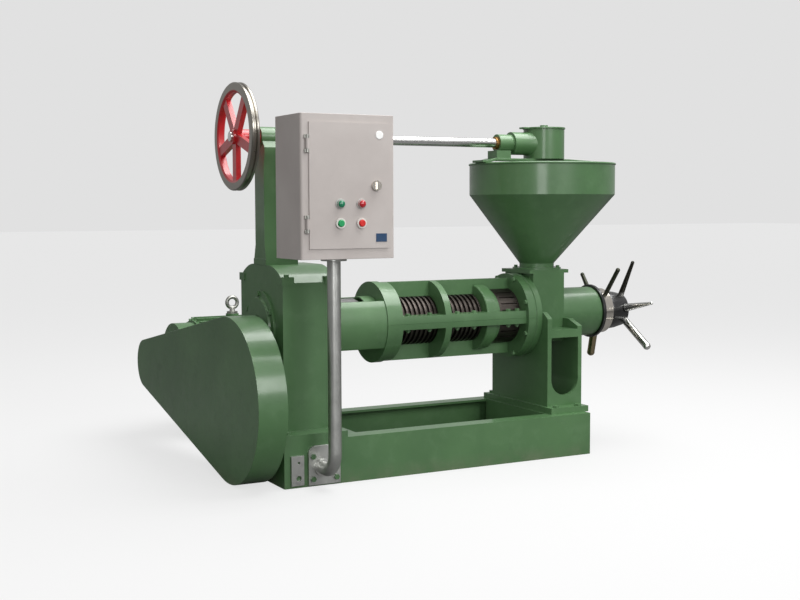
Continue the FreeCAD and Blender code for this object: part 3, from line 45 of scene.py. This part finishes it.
class Flow:
    """One output of a shader node, with arithmetic that adds Math nodes."""

    def __init__(self, paint, socket):
        self.paint = paint
        self.socket = socket

    def _math(self, operation, first, second=0.0):
        return self.paint.node("ShaderNodeMath", {"operation": operation},
                               {0: first, 1: second})

    def __add__(self, other):
        return self._math("ADD", self, other)

    def __radd__(self, other):
        return self._math("ADD", other, self)

    def __sub__(self, other):
        return self._math("SUBTRACT", self, other)

    def __rsub__(self, other):
        return self._math("SUBTRACT", other, self)

    def __mul__(self, other):
        return self._math("MULTIPLY", self, other)

    def __rmul__(self, other):
        return self._math("MULTIPLY", other, self)

    def __pow__(self, other):
        return self._math("POWER", self, other)

    def clear(self, low, high, out_low=0.0, out_high=1.0):
        """Linear change from one range to another, held at the ends."""
        return self.paint.node("ShaderNodeMapRange", {"clamp": True},
                               {0: self, 1: low, 2: high, 3: out_low, 4: out_high})


class Paint:
    """A material under construction around one Principled shader."""

    def __init__(self, name, **fixed):
        self.material = bpy.data.materials.new(name)
        self.material.use_nodes = True
        self.tree = self.material.node_tree
        self.shader = self.tree.nodes["Principled BSDF"]
        self.place = None
        for socket, value in fixed.items():
            self.shader.inputs[socket.replace("_", " ")].default_value = value

    def node(self, kind, settings=None, inputs=None, output=0):
        """New node: its settings first, then the values or links of its sockets."""
        made = self.tree.nodes.new(kind)
        for key, value in (settings or {}).items():
            setattr(made, key, value)
        for key, value in (inputs or {}).items():
            if isinstance(value, Flow):
                self.tree.links.new(value.socket, made.inputs[key])
            else:
                made.inputs[key].default_value = value
        return Flow(self, made.outputs[output])

    def spot(self):
        """Object coordinates, which are the press's own, in metres."""
        if self.place is None:
            self.place = self.node("ShaderNodeTexCoord", output="Object")
        return self.place

    def noise(self, scale, detail=3.0, rough=0.5, stretch=None):
        where = self.spot()
        if stretch:
            where = self.node("ShaderNodeMapping", None, {"Vector": where, "Scale": stretch})
        return self.node("ShaderNodeTexNoise", None,
                         {"Vector": where, "Scale": scale, "Detail": detail,
                          "Roughness": rough}, "Fac")

    def along(self, axis):
        return self.node("ShaderNodeSeparateXYZ", None, {0: self.spot()}, axis)

    def mix(self, share, first, second):
        """Colour mix; first shows where share is 0."""
        made = self.tree.nodes.new("ShaderNodeMix")
        made.data_type = "RGBA"
        for socket, value in ((made.inputs["Factor"], share), (made.inputs[6], first),
                              (made.inputs[7], second)):
            if isinstance(value, Flow):
                self.tree.links.new(value.socket, socket)
            else:
                socket.default_value = value
        return Flow(self, made.outputs[2])

    def feed(self, **links):
        for socket, value in links.items():
            target = self.shader.inputs[socket.replace("_", " ")]
            if isinstance(value, Flow):
                self.tree.links.new(value.socket, target)
            else:
                target.default_value = value
        return self

    def bump(self, height, strength, distance):
        raised = self.node("ShaderNodeBump", None,
                           {"Height": height, "Strength": strength, "Distance": distance},
                           "Normal")
        return self.feed(Normal=raised)


def tint(red, green, blue):
    """Screen colour from 0 to 255 turned into a linear one."""
    def line(level):
        share = level / 255.0
        return share / 12.92 if share < 0.04045 else ((share + 0.055) / 1.055) ** 2.4
    return (line(red), line(green), line(blue), 1.0)


LEAF = tint(80, 118, 74)
LEAF_DARK = tint(66, 102, 62)
LEAF_PALE = tint(118, 154, 112)
GRIME = tint(34, 44, 34)
DUST = tint(112, 108, 92)
DUST_REACH = 0.05
ORANGE_PEEL_GRAIN = 520.0
SAND_CAST_GRAIN = 150.0


def enamel(name, base=LEAF, dark=LEAF_DARK, pale=LEAF_PALE, peel=0.25, cast=0.0, gloss=0.34,
           grime=0.25, dust_from=None):
    """Sprayed machine enamel: colour drift, faint runs, orange peel and handling grime."""
    paint = Paint(name, Coat_Weight=0.5, Coat_Roughness=0.16)
    drift = paint.noise(3.1, 4.0, 0.55)
    cloud = paint.noise(17.0, 3.0, 0.6)
    runs = paint.noise(26.0, 2.0, 0.5, (1.0, 1.0, 0.12))
    colour = paint.mix(drift.clear(0.32, 0.68), dark, base)
    colour = paint.mix(cloud.clear(0.52, 0.8, 0.0, 0.16), colour, pale)
    colour = paint.mix(runs.clear(0.6, 0.78, 0.0, 0.18), colour, dark)
    stain = paint.noise(9.0, 6.0, 0.7).clear(0.58, 0.78) * grime
    colour = paint.mix(stain, colour, GRIME)
    if dust_from is not None:
        height = paint.along("Z")
        dust = (height.clear(dust_from, dust_from + DUST_REACH, 0.45, 0.0)
                * cloud.clear(0.3, 0.7))
        colour = paint.mix(dust, colour, DUST)
    skin = paint.noise(ORANGE_PEEL_GRAIN, 2.0, 0.5) * peel
    if cast:
        skin = skin + paint.noise(SAND_CAST_GRAIN, 5.0, 0.65) * cast
    paint.feed(Base_Color=colour, Roughness=cloud.clear(0.2, 0.8, gloss, gloss + 0.22)
               + stain * 0.4)
    paint.bump(skin, 0.35, 0.0006)
    return paint.material


def set_down(name, mesh, material):
    """Object at the origin from a finished bmesh, in one material."""
    shape = bpy.data.meshes.new(name)
    mesh.to_mesh(shape)
    mesh.free()
    piece = bpy.data.objects.new(name, shape)
    bpy.context.scene.collection.objects.link(piece)
    piece.data.materials.append(material)
    return piece


WELD_GAP = 0.000004
SAME_PLANE = math.radians(0.6)
SHARP_EDGE = math.radians(32.0)


def dress(node, body, material, width=0.0012):
    """Clean copy of a CAD node with broken edges and smooth curves, in its finish."""
    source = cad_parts[node]
    mesh = bmesh.new()
    mesh.from_mesh(source.data)
    bmesh.ops.remove_doubles(mesh, verts=mesh.verts, dist=WELD_GAP)
    bmesh.ops.dissolve_limit(mesh, angle_limit=SAME_PLANE, verts=mesh.verts,
                             edges=mesh.edges, delimit={"NORMAL"})
    for face in mesh.faces:
        face.smooth = True
    for edge in mesh.edges:
        edge.smooth = edge.is_manifold and edge.calc_face_angle(0.0) < SHARP_EDGE
    piece = set_down(node + "_skin", mesh, material)
    if width:
        edges = piece.modifiers.new("edges", "BEVEL")
        edges.width = width
        edges.segments = 2
        edges.limit_method = "ANGLE"
        edges.angle_limit = SHARP_EDGE
        edges.use_clamp_overlap = True
        edges.harden_normals = True
    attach(piece, body)
    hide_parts(node)
    return piece


channel_green = enamel("green_enamel_on_channel", peel=0.25, gloss=0.34, dust_from=0.0)
dress("base_frame", "frame", channel_green, 0.0025)
dress("motor_base", "frame", channel_green, 0.002)

# ------------------------------------------------------------------ gearbox
# Cast-iron box with a bolted cover, three bearing caps on its left side and the
# feeder's column on top, all in the same enamel as the base.
casting = enamel("green_enamel_on_castings", peel=0.2, cast=0.6, gloss=0.36)
dress("gearbox_housing", "frame", casting, 0.003)
dress("gearbox_cover", "frame", casting, 0.003)
dress("bearing_covers", "frame", casting, 0.0015)
dress("shaft_post", "frame", casting, 0.003)


def darker(colour, share):
    """The same colour with less light in it."""
    return tuple(level * share for level in colour[:3]) + (1.0,)


def bare_steel(name, base, rough, streak=None, stain=0.2):
    """Machined steel with fine tool lines, oil stains and a little tarnish."""
    paint = Paint(name, Metallic=1.0)
    cloud = paint.noise(14.0, 4.0, 0.6)
    lines = paint.noise(240.0, 2.0, 0.5, streak or (1.0, 1.0, 1.0))
    colour = paint.mix(cloud.clear(0.35, 0.75), base, darker(base, 0.72))
    colour = paint.mix(paint.noise(33.0, 5.0, 0.7).clear(0.6, 0.8) * stain, colour,
                       tint(70, 58, 42))
    paint.feed(Base_Color=colour, Roughness=lines.clear(0.3, 0.7, rough - 0.07, rough + 0.12))
    paint.bump(lines, 0.2, 0.0002)
    return paint.material


ground = bare_steel("ground_steel", tint(186, 186, 184), 0.28, (0.05, 1.0, 1.0))
bronze = bare_steel("bearing_bronze", tint(176, 136, 84), 0.36)
hobbed = bare_steel("hobbed_gear_steel", tint(140, 140, 142), 0.34)
dress("shaft_bearings", "frame", ground, 0.0)
dress("frame_bolts", "frame", enamel("green_enamel_on_bolts", gloss=0.38), 0.0004)
dress("feeder_bushes", "frame", bronze, 0.0004)
dress("bull_gear", "bull", hobbed, 0.0)
dress("input_shaft", "input", ground, 0.0)
dress("intermediate_shaft", "middle", ground, 0.0)
dress("intermediate_gear", "middle", hobbed, 0.0)

# ------------------------------------------------------------------ belt drive
# Sheet-steel teardrop guard over a cast grooved pulley, three rubber belts and
# the small pulley on the motor shaft.
guard_green = enamel("green_enamel_on_guard", peel=0.3, gloss=0.3, grime=0.35, dust_from=0.0)
dress("belt_guard", "frame", guard_green, 0.0008)
grey_iron = bare_steel("machined_cast_iron", tint(120, 120, 120), 0.45)
dress("large_pulley", "input", grey_iron, 0.0008)
dress("motor_pulley", "rotor", grey_iron, 0.0006)


def rubber(name, base, rough):
    """Vulcanised rubber with a fine grain and pale dust in patches."""
    paint = Paint(name)
    grain = paint.noise(420.0, 3.0, 0.6)
    dust = paint.noise(21.0, 4.0, 0.6)
    paint.feed(Base_Color=paint.mix(dust.clear(0.5, 0.8, 0.0, 0.4), base, tint(72, 70, 66)),
               Roughness=dust.clear(0.3, 0.8, rough - 0.1, rough + 0.2))
    paint.bump(grain, 0.3, 0.0003)
    return paint.material


dress("v_belts", "frame", rubber("black_rubber", tint(22, 22, 23), 0.6), 0.0)

# ------------------------------------------------------------------ motor
# Finned cast frame, pressed fan cover, terminal box and a forged lifting eye.
motor_green = enamel("green_enamel_on_motor", peel=0.2, cast=0.4, gloss=0.4)
zinc = bare_steel("zinc_plated_steel", tint(176, 176, 170), 0.38)
dress("motor_frame", "frame", motor_green, 0.001)
dress("motor_fan_cover", "frame", motor_green, 0.001)
dress("terminal_box", "frame", motor_green, 0.0015)
dress("motor_eye_bolt", "frame", zinc, 0.0006)
dress("motor_rotor", "rotor", ground, 0.0)

# ------------------------------------------------------------------ pressing cage
# Two bolted half frames of ribs and webs that hold the stack of hardened
# rings; oil runs out between the rings and the cake leaves at the gearbox end.
oiled = bare_steel("oiled_press_steel", tint(84, 78, 74), 0.42, (0.2, 1.0, 1.0))
dress("cage_upper_half", "frame", casting, 0.0018)
dress("cage_lower_half", "frame", casting, 0.0018)
dress("cage_bolts", "frame", enamel("green_enamel_on_studs", base=LEAF_PALE, gloss=0.36), 0.0004)
dress("press_rings", "frame", oiled, 0.0005)
dress("press_bars", "frame", oiled, 0.0005)
dress("spacer_ring", "frame", casting, 0.001)
dress("discharge_frame", "frame", casting, 0.002)
dress("cake_ring", "frame", casting, 0.0008)
dress("main_shaft", "press_shaft", ground, 0.001)
dress("worms", "press_shaft", oiled, 0.0)

# ------------------------------------------------------------------ pedestal and feed
# Cast stand with an arched window, and the round-flanged feed box in it.
dress("pedestal", "frame", casting, 0.0025)
dress("feed_housing", "frame", casting, 0.002)

# ------------------------------------------------------------------ adjusting end
# Painted sleeve, black dust ring, chromed lock ring and a black hub whose
# handles turn the choke screw.


def chrome(name, base, rough):
    """Plated or fine-turned bright metal with a faint haze."""
    paint = Paint(name, Metallic=1.0)
    haze = paint.noise(30.0, 4.0, 0.6)
    paint.feed(Base_Color=paint.mix(haze.clear(0.4, 0.8), base, darker(base, 0.8)),
               Roughness=haze.clear(0.3, 0.8, rough, rough + 0.14))
    paint.bump(paint.noise(300.0, 2.0, 0.5), 0.08, 0.0002)
    return paint.material


polished = chrome("polished_chrome", tint(222, 216, 206), 0.12)
black_gloss = enamel("black_enamel", base=tint(26, 26, 27), dark=tint(16, 16, 17),
                     pale=tint(46, 46, 48), gloss=0.28, grime=0.1)
dress("adjusting_sleeve", "frame", casting, 0.0012)
dress("dust_ring", "frame", black_gloss, 0.0012)
dress("thrust_sleeve", "thrust", ground, 0.0)
dress("adjusting_hub", "hub", black_gloss, 0.0012)


def bars_painted_bright_below(name, pale, dark, low, high):
    """Bars painted bright below one height as a painted highlight, and dark above it."""
    paint = Paint(name, Metallic=1.0)
    upper = paint.along("Z").clear(low, high)
    worn = paint.noise(90.0, 4.0, 0.6)
    colour = paint.mix(upper, pale, dark)
    colour = paint.mix(worn.clear(0.55, 0.8, 0.0, 0.35), colour, tint(96, 92, 84))
    paint.feed(Base_Color=colour, Roughness=upper * 0.3 + worn.clear(0.3, 0.7, 0.14, 0.26))
    paint.bump(worn, 0.2, 0.0003)
    return paint.material


# Heights where the painted highlight on the lower bars gives way to the dark upper bars.
HUB_BARS_HIGHLIGHT_TO_DARK = (0.50, 0.53)
LOCK_BARS_HIGHLIGHT_TO_DARK = (0.44, 0.48)
hub_bars = bars_painted_bright_below("hub_bars_painted_highlight", tint(232, 232, 228), tint(62, 62, 56),
                      *HUB_BARS_HIGHLIGHT_TO_DARK)
lock_bars = bars_painted_bright_below("lock_bars_painted_highlight", tint(150, 138, 108), tint(74, 76, 66),
                       *LOCK_BARS_HIGHLIGHT_TO_DARK)
dress("hub_handles", "hub", hub_bars, 0.0)
dress("lock_ring", "lock_nut", polished, 0.0012)
dress("lock_handles", "lock_nut", lock_bars, 0.0)

# ------------------------------------------------------------------ handwheel and feeder
# Cast wheel in red gloss with its turned rim left bare, on a bright feeder shaft
# that drives the stirrer through a pair of bevel gears.
WHEEL_CENTRE_Z = 1.054
BARE_RIM = (0.139, 0.143)


def worn_rim(name, paint_colour, metal, centre_z, inner, outer):
    """Red enamel inside the wheel and bare, hand-polished iron on its rim."""
    paint = Paint(name, Coat_Roughness=0.15)
    across = paint.along("Y")
    up = paint.along("Z") - centre_z
    radius = (across * across + up * up) ** 0.5
    bare = radius.clear(inner, outer)
    worn = paint.noise(60.0, 4.0, 0.6)
    colour = paint.mix(worn.clear(0.45, 0.8, 0.0, 0.5), paint_colour,
                       darker(paint_colour, 0.55))
    colour = paint.mix(bare, colour, metal)
    paint.feed(Base_Color=colour, Metallic=bare, Roughness=bare.clear(0.0, 1.0, 0.3, 0.24)
               + worn * 0.1, Coat_Weight=bare.clear(0.0, 1.0, 0.5, 0.0))
    paint.bump(worn, 0.2, 0.0006)
    return paint.material


wheel_finish = worn_rim("wheel_enamel_and_iron", tint(190, 34, 40), tint(150, 146, 138),
                        WHEEL_CENTRE_Z, *BARE_RIM)
bright = chrome("turned_bright_steel", tint(226, 226, 224), 0.2)
plate_green = enamel("green_enamel_on_plate", peel=0.25, gloss=0.3)
dress("handwheel", "feeder", wheel_finish, 0.002)
dress("feeder_shaft", "feeder", bright, 0.0008)
dress("bevel_pinion", "feeder", hobbed, 0.0)
dress("bevel_gear", "stirrer", hobbed, 0.0)
dress("agitator", "stirrer", ground, 0.0006)
dress("bevel_housing", "frame", casting, 0.0015)
dress("gear_cover_lid", "frame", plate_green, 0.0012)

# ------------------------------------------------------------------ hopper
# Rolled from 2 mm sheet with a wired rim, and a flat bar across its mouth.
dress("hopper", "frame", enamel("green_enamel_on_hopper", peel=0.3, gloss=0.28, grime=0.2),
      0.0)
dress("hopper_bridge", "frame", plate_green, 0.0012)

# ------------------------------------------------------------------ control box
# Folded steel wall cabinet with a powder coat and a hinged door that carries
# two signal lamps, two push buttons, a plain disc and a plain plate.


def powder(name, base, shade):
    """Matt powder coat with a fine grain, mottled and smeared by hands."""
    paint = Paint(name)
    mottling = paint.noise(5.0, 4.0, 0.55)
    fine = paint.noise(700.0, 2.0, 0.6)
    smear = paint.noise(22.0, 5.0, 0.65).clear(0.56, 0.8, 0.0, 0.35)
    colour = paint.mix(mottling.clear(0.3, 0.7), shade, base)
    colour = paint.mix(smear, colour, shade)
    paint.feed(Base_Color=colour, Roughness=mottling.clear(0.3, 0.7, 0.42, 0.56))
    paint.bump(fine, 0.25, 0.0004)
    return paint.material


cabinet = powder("warm_grey_powder_coat", tint(188, 181, 177), tint(174, 166, 162))
dress("control_box", "frame", cabinet, 0.0012)
dress("control_door", "door", cabinet, 0.001)
dress("hinge_pins", "frame", zinc, 0.0004)
dress("door_lock", "lock", polished, 0.0008)


def moulded(name, base, rough=0.3, clear=0.0):
    """Moulded plastic, a little rubbed."""
    paint = Paint(name, Coat_Weight=clear)
    fine = paint.noise(900.0, 2.0, 0.5)
    wear = paint.noise(60.0, 3.0, 0.6)
    paint.feed(Base_Color=paint.mix(wear.clear(0.5, 0.9, 0.0, 0.35), base,
                                    darker(base, 0.7)),
               Roughness=wear.clear(0.3, 0.8, rough, rough + 0.15))
    paint.bump(fine, 0.15, 0.0002)
    return paint.material


dress("signal_lamps", "door", moulded("lamp_bezel_grey", tint(170, 170, 166)), 0.0006)
dress("button_bezels", "door", moulded("pale_bezel_plastic", tint(212, 210, 204)), 0.0008)
dress("start_button", "start_push", moulded("green_button_plastic", tint(16, 150, 86)), 0.0006)
dress("stop_button", "stop_push", moulded("red_button_plastic", tint(206, 32, 26)), 0.0006)


def turned_piece(name, body, material, spot, corners):
    """Small part turned about the Y line through a spot; corners are (y, radius)."""
    mesh = bmesh.new()
    profile = [mesh.verts.new((spot[0] + radius, spot[1] + y, spot[2]))
               for y, radius in corners]
    outline = [mesh.edges.new(pair) for pair in zip(profile, profile[1:])]
    bmesh.ops.spin(mesh, geom=profile + outline, cent=spot, axis=(0.0, 1.0, 0.0),
                   angle=2.0 * math.pi, steps=32, use_merge=True)
    bmesh.ops.holes_fill(mesh, edges=mesh.edges[:], sides=0)
    bmesh.ops.recalc_face_normals(mesh, faces=mesh.faces[:])
    for face in mesh.faces:
        face.smooth = len(face.verts) == 4
    piece = set_down(name, mesh, material)
    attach(piece, body)
    return piece


def flat_piece(name, body, material, low, high, edge):
    """Small block between two corners with softened edges."""
    mesh = bmesh.new()
    bmesh.ops.create_cube(mesh, size=1.0)
    bmesh.ops.scale(mesh, verts=mesh.verts, vec=[b - a for a, b in zip(low, high)])
    bmesh.ops.translate(mesh, verts=mesh.verts, vec=[(a + b) / 2.0 for a, b in zip(low, high)])
    bmesh.ops.bevel(mesh, geom=mesh.edges[:], offset=edge, segments=2, affect="EDGES")
    piece = set_down(name, mesh, material)
    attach(piece, body)
    return piece


DOOR_FACE = -0.434
LENS = ((-0.0158, 0.0004), (-0.0153, 0.0045), (-0.0138, 0.0078), (-0.0115, 0.0100),
        (-0.0060, 0.0112), (-0.0046, 0.0124), (-0.0040, 0.0124))
LAMP_Z = 0.847
for lamp_name, lamp_x, lamp_colour in (("green_lamp_lens", -0.460, tint(20, 120, 84)),
                                       ("red_lamp_lens", -0.394, tint(176, 24, 34))):
    turned_piece(lamp_name, "door", moulded(lamp_name + "_plastic", lamp_colour, 0.18, 0.6),
                 (lamp_x, DOOR_FACE, LAMP_Z), LENS)
DISC_X, DISC_Z = -0.335, 1.043
DISC = ((-0.0016, 0.0105), (-0.0012, 0.0120), (-0.0001, 0.0120))
turned_piece("round_blank_disc", "door", moulded("white_disc_plastic", tint(240, 240, 238)),
             (DISC_X, DOOR_FACE, DISC_Z), DISC)
PLATE_X, PLATE_Z = (-0.347, -0.312), (0.738, 0.762)
flat_piece("blank_blue_plate", "door", moulded("blue_plate_lacquer", tint(34, 66, 100)),
           (PLATE_X[0], DOOR_FACE - 0.0012, PLATE_Z[0]),
           (PLATE_X[1], DOOR_FACE - 0.0001, PLATE_Z[1]), 0.0003)

# ------------------------------------------------------------------ pole
# Galvanised water pipe with an elbow, bolted to the base by a welded plate.
galvanised = bare_steel("galvanised_pipe", tint(205, 206, 202), 0.36, stain=0.25)
dress("pole", "frame", galvanised, 0.001)
dress("pole_brackets", "frame", galvanised, 0.0012)

# ------------------------------------------------------------------ studio
# Pale floor and backdrop, and three soft lights: one overhead, one in front and
# a weak one beside the camera.  Floor and backdrop look brighter to the camera
# than the light they give, so the machine keeps its own shading.
FLOOR_REACH = 40.0
FLOOR_GREY = (0.14, 0.14, 0.14, 1.0)
FLOOR_GLOW = (0.7, 0.7, 0.7, 1.0)
floor_paint = Paint("studio_floor", Roughness=0.9)
floor_seen = floor_paint.node("ShaderNodeLightPath", output="Is Camera Ray")
floor_paint.feed(Base_Color=FLOOR_GREY, Emission_Color=FLOOR_GLOW,
                 Emission_Strength=floor_seen)
floor_mesh = bmesh.new()
bmesh.ops.create_grid(floor_mesh, x_segments=1, y_segments=1, size=FLOOR_REACH)
floor = set_down("floor", floor_mesh, floor_paint.material)

BACKDROP_LIGHT = 0.6
BACKDROP_SEEN = 1.0
world = bpy.data.worlds.new("studio")
world.use_nodes = True
backdrop = world.node_tree.nodes["Background"]
backdrop.inputs["Color"].default_value = tint(225, 225, 225)
seen = world.node_tree.nodes.new("ShaderNodeLightPath")
strength = world.node_tree.nodes.new("ShaderNodeMapRange")
strength.inputs["To Min"].default_value = BACKDROP_LIGHT
strength.inputs["To Max"].default_value = BACKDROP_SEEN
world.node_tree.links.new(seen.outputs["Is Camera Ray"], strength.inputs["Value"])
world.node_tree.links.new(strength.outputs["Result"], backdrop.inputs["Strength"])
bpy.context.scene.world = world
bpy.context.scene.view_settings.view_transform = "Standard"


def soft_light(name, spot, target, size, watts):
    """Square area light at a spot, turned towards a target."""
    lamp = bpy.data.lights.new(name, "AREA")
    lamp.shape = "RECTANGLE"
    lamp.size = size
    lamp.size_y = size
    lamp.energy = watts
    holder = bpy.data.objects.new(name, lamp)
    holder.location = spot
    holder.rotation_euler = (Vector(target) - Vector(spot)).to_track_quat("-Z", "Y").to_euler()
    bpy.context.scene.collection.objects.link(holder)


MIDDLE = (0.0, 0.0, 0.6)
soft_light("overhead", (0.9, -0.4, 3.4), (0.0, 0.1, 0.4), 2.8, 170.0)
soft_light("front", (0.6, -4.6, 2.4), MIDDLE, 1.8, 85.0)
soft_light("camera_side", (-2.6, -4.6, 1.4), MIDDLE, 1.4, 40.0)

CAMERA_SPOT = (-1.9701, -3.6279, 0.8404)
CAMERA_DROP, CAMERA_ROLL, CAMERA_TURN = 4.3178, 0.18, -28.0446
camera = bpy.data.cameras.new("camera")
camera.sensor_width = 36.0
camera.lens = 56.0
camera.clip_end = 200.0
viewpoint = bpy.data.objects.new("camera", camera)
viewpoint.location = CAMERA_SPOT
viewpoint.rotation_euler = (math.radians(90.0 - CAMERA_DROP), math.radians(CAMERA_ROLL),
                            math.radians(CAMERA_TURN))
bpy.context.scene.collection.objects.link(viewpoint)
bpy.context.scene.camera = viewpoint

bpy.context.view_layer.update()
